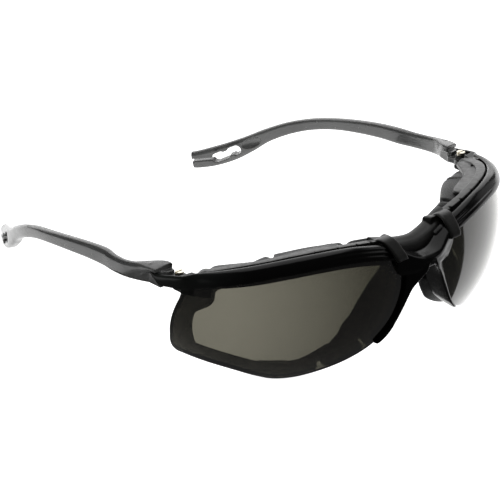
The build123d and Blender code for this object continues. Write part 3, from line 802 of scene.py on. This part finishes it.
def slit_outline():
    """Slit that opens the slot to the end of the tip."""
    return [(SLIT_START + a * cos(SLIT_LEAN) - b * sin(SLIT_LEAN),
             a * sin(SLIT_LEAN) + b * cos(SLIT_LEAN) - SLOT_DROP) for a, b in SLIT_CORNERS]


def recess_cutter():
    """Dished hollow on the inner face in front of the slot."""
    middle, travel, up, across = tip_axes()
    inner = across if across.x > 0 else -across
    centre = middle + travel * RECESS_PLACE[0] + up * RECESS_PLACE[1] + inner * RECESS_PLACE[2]
    length, height, depth = RECESS_RADII
    turns = [2 * pi * k / 24 for k in range(24)]
    rings = []
    for i in range(1, 16):
        polar = pi * i / 16
        rings.append([centre + travel * length * cos(polar)
                      + (up * height * cos(turn) + inner * depth * sin(turn)) * sin(polar) for turn in turns])
    return loft("recess", rings)


KNUCKLE = (33.15, 35.25)                 # its underside and top, between the frame's ears
# Cap over the endpiece, from its open front back into the blade: outer x and y, inner x and y,
# underside, and top at the outer and inner edge.
CAP = [(-72.5, 44.0, -66.0, 42.7, 36.3, 37.5, 38.7), (-72.7, 46.0, -66.1, 45.0, 36.2, 37.6, 38.7),
       (-73.0, 48.5, -67.4, 47.6, 34.8, 37.4, 38.4), (-73.2, 51.0, -69.2, 50.4, 32.6, 36.9, 37.8),
       (-73.5, 54.0, -70.7, 53.8, 31.2, 36.2, 36.8)]
CAP_SECTION = [(0.0, 0.2), (0.06, 0.0), (0.94, 0.0), (1.0, 0.15), (1.0, 0.8), (0.94, 0.97), (0.7, 1.04),
               (0.35, 1.05), (0.08, 0.97), (0.0, 0.75)]


def temple_cap():
    """Smooth cover over the hinge that runs back into the blade."""
    rings = []
    for x_out, y_out, x_in, y_in, low, top_out, top_in in CAP:
        ring = []
        for across, rise in CAP_SECTION:
            top = top_out + (top_in - top_out) * across
            ring.append(Vector((x_out + (x_in - x_out) * across, y_out + (y_in - y_out) * across,
                                low + (top - low) * rise)))
        rings.append(ring)
    return smooth_loft("cap", rings, 5)


BLOCK = [(-70.6, 50.5), (-70.6, 42.5), (-69.2, 41.1), (-66.6, 41.1), (-66.2, 42.6), (-67.4, 47.0),
         (-69.6, 50.5)]
BLOCK_HEIGHTS = (32.6, 36.8)
SKIN_X = (-72.55, -70.0)                 # outer skin beside the seam: its sides, top and back end
SKIN_TOP = 36.6
SKIN_BACK = 50.0
SKIN_FOOT = (1.9, 1.3)                   # back and up from the seam's lower end
WEB_HALF = 1.7
WEB_BACK = 42.5


def temple_root():
    """Front block of the temple with the knuckle that turns on the screw."""
    inner = slab("inner", BLOCK, *BLOCK_HEIGHTS)
    (low_y, low_z), (top_y, top_z) = SEAM
    front, foot = top_y + SEAM_GAP, low_z + SKIN_FOOT[1]
    corners = ((low_y + SEAM_GAP + SKIN_FOOT[0], foot), (front, top_z), (front, SKIN_TOP),
               (SKIN_BACK, SKIN_TOP), (SKIN_BACK, foot))
    skin = [[Vector((x, y, z)) for y, z in corners] for x in SKIN_X]
    knuckle = tube("knuckle", HINGE, EAR_R, *KNUCKLE)
    web = slab("web", [(HINGE.x - WEB_HALF, HINGE.y), (HINGE.x + WEB_HALF, HINGE.y),
                       (HINGE.x + WEB_HALF, WEB_BACK), (HINGE.x - WEB_HALF, WEB_BACK)], *KNUCKLE)
    return [temple_cap(), inner, loft("skin", skin), knuckle, web]


def temple(name):
    """Side arm with its cord slot, the slit behind it and the hollow in front."""
    arm = blade()
    cut(arm, tip_cutter(slot_outline()))
    cut(arm, tip_cutter(slit_outline()))
    cut(arm, recess_cutter())
    return fuse(name, [arm] + temple_root(), voxel=0.2, rounds=9)


# ---- materials -----------------------------------------------------------------------------

class Finish:
    """Small helper that wires one procedural material."""

    def __init__(self, name, colour, roughness):
        self.material = bpy.data.materials.new(name)
        self.material.use_nodes = True
        self.nodes = self.material.node_tree.nodes
        self.links = self.material.node_tree.links
        self.shader = self.nodes["Principled BSDF"]
        self.shader.inputs["Base Color"].default_value = (*colour, 1.0)
        self.shader.inputs["Roughness"].default_value = roughness
        self.place = self.nodes.new("ShaderNodeTexCoord").outputs["Object"]

    def set(self, **values):
        for key, value in values.items():
            self.shader.inputs[key.replace("_", " ")].default_value = value

    def millimetres(self):
        """The object's own coordinates in millimetres."""
        mapping = self.nodes.new("ShaderNodeMapping")
        mapping.inputs["Scale"].default_value = (1000.0, 1000.0, 1000.0)
        self.links.new(self.place, mapping.inputs["Vector"])
        return mapping.outputs["Vector"]

    def noise(self, scale, detail=3.0):
        """Noise with this many swells to a millimetre."""
        noise = self.nodes.new("ShaderNodeTexNoise")
        noise.inputs["Scale"].default_value = scale
        noise.inputs["Detail"].default_value = detail
        self.links.new(self.millimetres(), noise.inputs["Vector"])
        return noise.outputs["Fac"]

    def cells(self, scale):
        """Round cells, this many to a millimetre."""
        cells = self.nodes.new("ShaderNodeTexVoronoi")
        cells.inputs["Scale"].default_value = scale
        self.links.new(self.millimetres(), cells.inputs["Vector"])
        return cells.outputs["Distance"]

    def remap(self, value, low, high, start=0.3, end=0.7):
        """A value between start and end, carried over to low and high."""
        span = self.nodes.new("ShaderNodeMapRange")
        span.inputs["From Min"].default_value = start
        span.inputs["From Max"].default_value = end
        span.inputs["To Min"].default_value = low
        span.inputs["To Max"].default_value = high
        self.links.new(value, span.inputs["Value"])
        return span.outputs["Result"]

    def tint(self, value, low, high):
        """Base colour between two colours, by a value from 0 to 1."""
        mix = self.nodes.new("ShaderNodeMix")
        mix.data_type = "RGBA"
        mix.inputs["A"].default_value = (*low, 1.0)
        mix.inputs["B"].default_value = (*high, 1.0)
        self.links.new(value, mix.inputs["Factor"])
        self.links.new(mix.outputs["Result"], self.shader.inputs["Base Color"])

    def rough(self, value, low, high):
        self.links.new(self.remap(value, low, high), self.shader.inputs["Roughness"])

    def bump(self, value, strength, distance):
        """Relief with its height in millimetres."""
        bump = self.nodes.new("ShaderNodeBump")
        bump.inputs["Strength"].default_value = strength
        bump.inputs["Distance"].default_value = distance * MM
        self.links.new(value, bump.inputs["Height"])
        self.links.new(bump.outputs["Normal"], self.shader.inputs["Normal"])

    def outwards(self, start, end):
        """0 to 1 between two distances from the middle of the glasses, in millimetres."""
        split = self.nodes.new("ShaderNodeSeparateXYZ")
        self.links.new(self.place, split.inputs["Vector"])
        size = self.nodes.new("ShaderNodeMath")
        size.operation = "ABSOLUTE"
        self.links.new(split.outputs["X"], size.inputs[0])
        return self.remap(size.outputs[0], 0.0, 1.0, start * MM, end * MM)


def lens_finish():
    """Smoked polycarbonate, with painted shade that darkens it towards the nose, and its gloss in a clear
    coat.
    """
    finish = Finish("smoked_polycarbonate", (0.12, 0.11, 0.085), 0.0)
    finish.set(Transmission_Weight=1.0, IOR=1.4, Specular_IOR_Level=0.0)
    finish.set(Coat_Weight=1.0, Coat_IOR=1.4, Coat_Roughness=0.1)
    # painted shade: the lens colour darkens towards the nose, standing in for the glasses' own shadow on the
    # floor seen through the lens
    finish.tint(finish.outwards(24.0, 62.0), (0.026, 0.025, 0.0175), (0.112, 0.107, 0.084))
    finish.rough(finish.noise(0.05), 0.0, 0.004)
    return finish.material


def lens_rim_finish():
    """Ground edge of the lens, which looks nearly black."""
    finish = Finish("lens_ground_edge", (0.008, 0.008, 0.007), 0.3)
    finish.set(Specular_IOR_Level=0.2)
    finish.tint(finish.remap(finish.noise(0.6), 0.0, 1.0), (0.006, 0.006, 0.005), (0.012, 0.012, 0.010))
    finish.rough(finish.noise(1.5, 4.0), 0.22, 0.4)
    return finish.material


def frame_finish():
    """Glossy black at the nose that thins to smoke at the endpieces."""
    finish = Finish("black_smoke_plastic", (0.012, 0.012, 0.012), 0.18)
    finish.set(IOR=1.5, Specular_IOR_Level=0.15)
    finish.tint(finish.outwards(60.0, 73.0), (0.004, 0.004, 0.004), (0.028, 0.030, 0.028))
    finish.rough(finish.noise(0.5, 5.0), 0.14, 0.24)
    finish.bump(finish.noise(0.35), 0.25, 0.03)
    return finish.material


def carrier_finish():
    """Dark satin plastic."""
    finish = Finish("carrier_plastic", (0.02, 0.02, 0.019), 0.36)
    finish.set(IOR=1.48, Specular_IOR_Level=0.3)
    finish.tint(finish.remap(finish.noise(0.12), 0.0, 1.0), (0.014, 0.014, 0.013), (0.022, 0.022, 0.021))
    finish.rough(finish.noise(0.6, 4.0), 0.30, 0.44)
    finish.bump(finish.noise(3.0, 6.0), 0.3, 0.02)
    return finish.material


def foam_finish():
    """Fine closed cells under a soft skin."""
    finish = Finish("closed_cell_foam", (0.022, 0.022, 0.022), 0.85)
    finish.set(Sheen_Weight=0.8, Sheen_Roughness=0.4, Specular_IOR_Level=0.25)
    finish.tint(finish.remap(finish.noise(0.35, 5.0), 0.0, 1.0), (0.010, 0.010, 0.010), (0.022, 0.022, 0.021))
    finish.rough(finish.noise(1.2), 0.75, 0.95)
    finish.bump(finish.cells(4.5), 0.5, 0.09)
    return finish.material


def temple_finish():
    """Smoke-grey plastic that lets some light through."""
    finish = Finish("smoke_plastic", (0.12, 0.12, 0.115), 0.22)
    finish.set(Transmission_Weight=0.35, IOR=1.5, Coat_Weight=0.2, Coat_Roughness=0.06)
    finish.tint(finish.remap(finish.noise(0.08), 0.0, 1.0), (0.10, 0.10, 0.098), (0.14, 0.142, 0.14))
    finish.rough(finish.noise(0.4, 4.0), 0.18, 0.28)
    finish.bump(finish.noise(0.25), 0.2, 0.03)
    return finish.material


def screw_finish():
    """Warm, slightly worn steel."""
    finish = Finish("screw_steel", (0.72, 0.68, 0.58), 0.3)
    finish.set(Metallic=1.0)
    finish.tint(finish.remap(finish.noise(2.0, 4.0), 0.0, 1.0), (0.60, 0.56, 0.46), (0.78, 0.74, 0.64))
    finish.rough(finish.noise(4.0, 4.0), 0.22, 0.42)
    finish.bump(finish.noise(6.0, 5.0), 0.25, 0.01)
    return finish.material


# ---- the object ----------------------------------------------------------------------------

def place_piece(piece, finishes, body, slot):
    """Give a piece the materials of its slot and the body that it moves with."""
    for finish in finishes[slot]:
        piece.data.materials.append(finish)
    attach(piece, body)


def build_glasses():
    finishes = {"lens": [lens_finish(), lens_rim_finish()], "frame": [frame_finish()],
                "carrier": [carrier_finish()], "foam": [foam_finish()], "temple": [temple_finish()]}
    sides = ("right", "left")
    paired = {"lens": (lens("lens_shell_right"), "lens", "front"),
              "gasket_foam": (foam_pad("foam_ring_right"), "foam", "front"),
              "temple": (temple("temple_arm_right"), "temple", "right_arm")}
    for node, (right, slot, body) in paired.items():
        left = mirror_copy(right, right.name.replace("right", "left"))
        for piece, side in zip((right, left), sides):
            place_piece(piece, finishes, body.replace("right", side), slot)
            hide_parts(f"{node}_{side}")
            if slot == "lens":
                piece.visible_shadow = False
                piece.visible_diffuse = False
    whole = {"frame_front": (frame_front("frame_moulding"), "frame"),
             "gasket_carrier": (gasket_carrier("carrier_moulding"), "carrier")}
    for node, (piece, slot) in whole.items():
        place_piece(piece, finishes, "front", slot)
        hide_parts(node)
    steel = screw_finish()
    for side in sides:
        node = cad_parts[f"hinge_screw_{side}"]
        node.data.materials.clear()
        node.data.materials.append(steel)


# ---- floor, light and camera ---------------------------------------------------------------

FLOOR_HALF = 6.0
# Where the two floor sheets meet, in metres.
CARD_LINE = [(-FLOOR_HALF, 0.03), (0.02, 0.03), (0.02, -0.07), (FLOOR_HALF, -5.9)]


def floor_sheet(name, far_y, lights_object):
    """White sheet from the card line to the far edge."""
    mesh = bpy.data.meshes.new(name)
    corners = CARD_LINE + [(FLOOR_HALF, far_y), (-FLOOR_HALF, far_y)]
    mesh.from_pydata([(x, y, 0.0) for x, y in corners], [], [range(len(corners))])
    piece = add_object(name, mesh)
    finish = Finish("pale_floor", (0.95, 0.95, 0.95), 0.9)
    finish.set(Specular_IOR_Level=0.0, Emission_Strength=1.0, Emission_Color=(1.0, 1.0, 1.0, 1.0))
    mesh.materials.append(finish.material)
    piece.visible_diffuse = lights_object
    piece.visible_glossy = lights_object


def floor():
    """Floor in two sheets: the one in front stays out of reflections, like a dark card there."""
    floor_sheet("floor_front", -FLOOR_HALF, False)
    floor_sheet("floor_back", FLOOR_HALF, True)


# Soft panels: name, place in metres, width and height, watts. All face LIGHT_TARGET.
LIGHTS = [("top_box", (0.5, 0.9, 2.2), (2.4, 2.4), 32.0),
          ("back_panel", (1.3, 1.9, 0.9), (3.0, 1.6), 26.0),
          ("side_panel", (2.2, -0.3, 0.9), (1.6, 1.6), 5.0)]
LIGHT_TARGET = Vector((0.0, -0.02, 0.03))
WORLD_STRENGTH = 0.08


def panel_light(name, place, size, watts):
    data = bpy.data.lights.new(name, "AREA")
    data.shape = "RECTANGLE"
    data.size, data.size_y = size
    data.energy = watts
    light = add_object(name, data)
    light.location = place
    light.rotation_euler = (LIGHT_TARGET - Vector(place)).to_track_quat("-Z", "Y").to_euler()


def studio():
    world = bpy.data.worlds.new("studio")
    world.use_nodes = True
    background = world.node_tree.nodes["Background"]
    background.inputs["Color"].default_value = (1.0, 1.0, 1.0, 1.0)
    background.inputs["Strength"].default_value = WORLD_STRENGTH
    bpy.context.scene.world = world
    bpy.context.scene.view_settings.view_transform = "Standard"
    for name, place, size, watts in LIGHTS:
        panel_light(name, place, size, watts)


CAMERA_TARGET = Vector((-0.0158, -0.0129, 0.0212))
CAMERA_AZIMUTH = radians(-44.895)
CAMERA_ELEVATION = radians(26.491)
CAMERA_ROLL = radians(0.8668)
CAMERA_DISTANCE = 0.93
CAMERA_LENS = 197.68
SENSOR_WIDTH = 36.0


def camera():
    """Camera at the photograph's viewing angle, turned a little about its own axis."""
    back = Vector((sin(CAMERA_AZIMUTH) * cos(CAMERA_ELEVATION), -cos(CAMERA_AZIMUTH) * cos(CAMERA_ELEVATION),
                   sin(CAMERA_ELEVATION)))
    level = Vector((cos(CAMERA_AZIMUTH), sin(CAMERA_AZIMUTH), 0.0))
    upright = back.cross(level)
    right = level * cos(CAMERA_ROLL) + upright * sin(CAMERA_ROLL)
    up = back.cross(right)
    data = bpy.data.cameras.new("camera")
    data.lens = CAMERA_LENS
    data.sensor_width = SENSOR_WIDTH
    view = add_object("camera", data)
    turn = Matrix((right, up, back)).transposed().to_4x4()
    view.matrix_world = Matrix.Translation(CAMERA_TARGET + back * CAMERA_DISTANCE) @ turn
    bpy.context.scene.camera = view


build_glasses()
floor()
studio()
camera()
